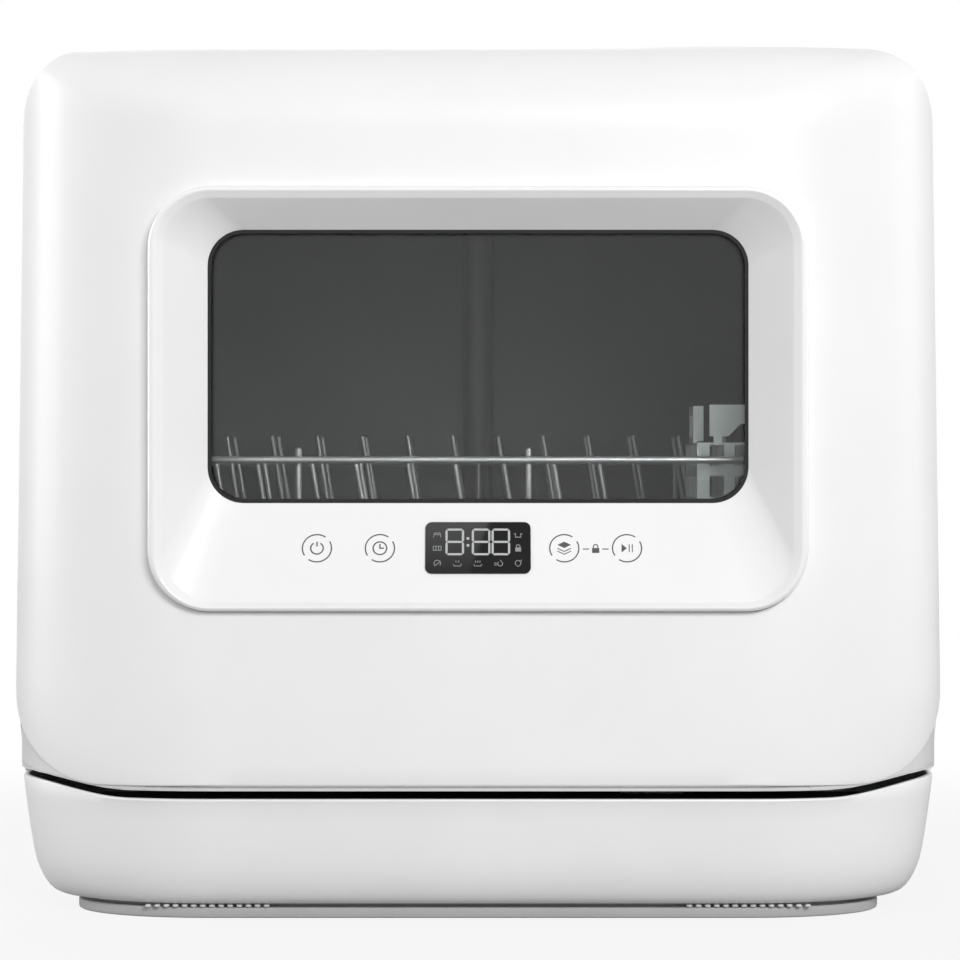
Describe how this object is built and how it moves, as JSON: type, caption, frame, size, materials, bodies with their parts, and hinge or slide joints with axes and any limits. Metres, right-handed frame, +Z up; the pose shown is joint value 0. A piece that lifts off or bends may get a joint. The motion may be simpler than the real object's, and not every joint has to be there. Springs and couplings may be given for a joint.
{
  "type": "countertop dishwasher",
  "caption": "Compact countertop dishwasher: drop-down windowed front door, sliding dish rack, lift-out cutlery basket, two spray arms and a rear water tank.",
  "frame": {"origin": "middle of the footprint, on the surface it stands on", "axes": "+Z up, front door towards -Y, +X to the right seen from the front"},
  "size_m": [0.44, 0.43, 0.404],
  "materials": {
    "white_shell": "smooth semi-gloss white moulding",
    "white_trim": "smooth white moulding",
    "grey_moulding": "fine-textured light grey polypropylene",
    "dark_moulding": "dark grey polypropylene",
    "grey_plastic": "mid grey polypropylene",
    "black_rubber": "matt black rubber",
    "grey_rubber": "matt grey rubber",
    "stainless": "brushed stainless steel",
    "steel": "plated steel",
    "clear_glass": "clear tempered glass",
    "black_lens": "black acrylic lens",
    "board": "green circuit board",
    "coated_wire": "grey nylon-coated steel wire",
    "tank_plastic": "translucent white polyethylene"
  },
  "bodies": {
    "cabinet": {"base_housing": "white_shell", "plinth": "white_trim", "rubber_feet": "black_rubber", "seam_strip": "black_rubber", "cabinet_shell": "white_shell", "front_frame": "white_trim", "rear_panel": "white_trim", "tub": "grey_moulding", "tub_seal": "grey_rubber", "sump": "dark_moulding", "filter_plate": "stainless", "lower_arm_hub": "grey_plastic", "upper_arm_hub": "grey_plastic", "riser_pipe": "grey_plastic", "supply_pipe": "dark_moulding", "wash_pump": "dark_moulding", "heater": "stainless", "drain_pump": "dark_moulding", "drain_hose": "grey_rubber", "water_tank": "tank_plastic", "tank_hose": "grey_rubber", "fill_collar": "white_trim", "fill_lid_pin": "steel", "inlet_valve": "white_trim", "drain_outlet": "dark_moulding", "cord_gland": "black_rubber", "power_board": "board", "rack_rails": "grey_plastic", "hinge_brackets": "steel", "hinge_pins": "steel", "latch_housing": "dark_moulding"},
    "door": {"door_outer_panel": "white_shell", "door_frame": "white_shell", "window_frame": "white_shell", "frame_clips": "steel", "window_glass": "clear_glass", "window_gasket": "black_rubber", "display_lens": "black_lens", "control_board": "board", "door_liner": "grey_moulding", "inner_pane": "clear_glass", "door_striker": "steel", "detergent_cup": "white_trim", "hinge_blocks": "steel", "liner_screws": "steel"},
    "rack": {"rack_grid": "coated_wire", "rack_walls": "coated_wire", "rack_tines": "coated_wire", "rack_glides": "grey_plastic"},
    "lower_arm": {"lower_spray_arm": "dark_moulding"},
    "upper_arm": {"upper_spray_arm": "dark_moulding"},
    "lid": {"fill_lid": "white_shell"},
    "filter": {"filter_cup": "grey_plastic"},
    "basket": {"cutlery_basket": "grey_plastic"}
  },
  "joints": [
    {"name": "door_hinge", "type": "hinge", "parent": "cabinet", "child": "door", "pos_m": [0, -0.196, 0.074], "axis": [1, 0, 0], "range_deg": [0, 90]},
    {"name": "rack_slide", "type": "slide", "parent": "cabinet", "child": "rack", "axis": [0, -1, 0], "range_m": [0, 0.1885]},
    {"name": "basket_lift", "type": "slide", "parent": "rack", "child": "basket", "axis": [0, 0, 1], "range_m": [0, 0.08]},
    {"name": "lower_arm_spin", "type": "hinge", "parent": "cabinet", "child": "lower_arm", "pos_m": [0, 0.012, 0.12], "axis": [0, 0, 1], "continuous": true},
    {"name": "upper_arm_spin", "type": "hinge", "parent": "cabinet", "child": "upper_arm", "pos_m": [0, 0.012, 0.346], "axis": [0, 0, 1], "continuous": true},
    {"name": "fill_lid_hinge", "type": "hinge", "parent": "cabinet", "child": "lid", "pos_m": [0, 0.1842, 0.402], "axis": [-1, 0, 0], "range_deg": [0, 95]},
    {"name": "filter_twist", "type": "hinge", "parent": "cabinet", "child": "filter", "pos_m": [0.072, 0.012, 0.1], "axis": [0, 0, 1], "range_deg": [0, 90]}
  ],
  "couplings": [
    {"joint": "rack_slide", "follows": "door_hinge", "m_per_rad": 0.12}
  ]
}
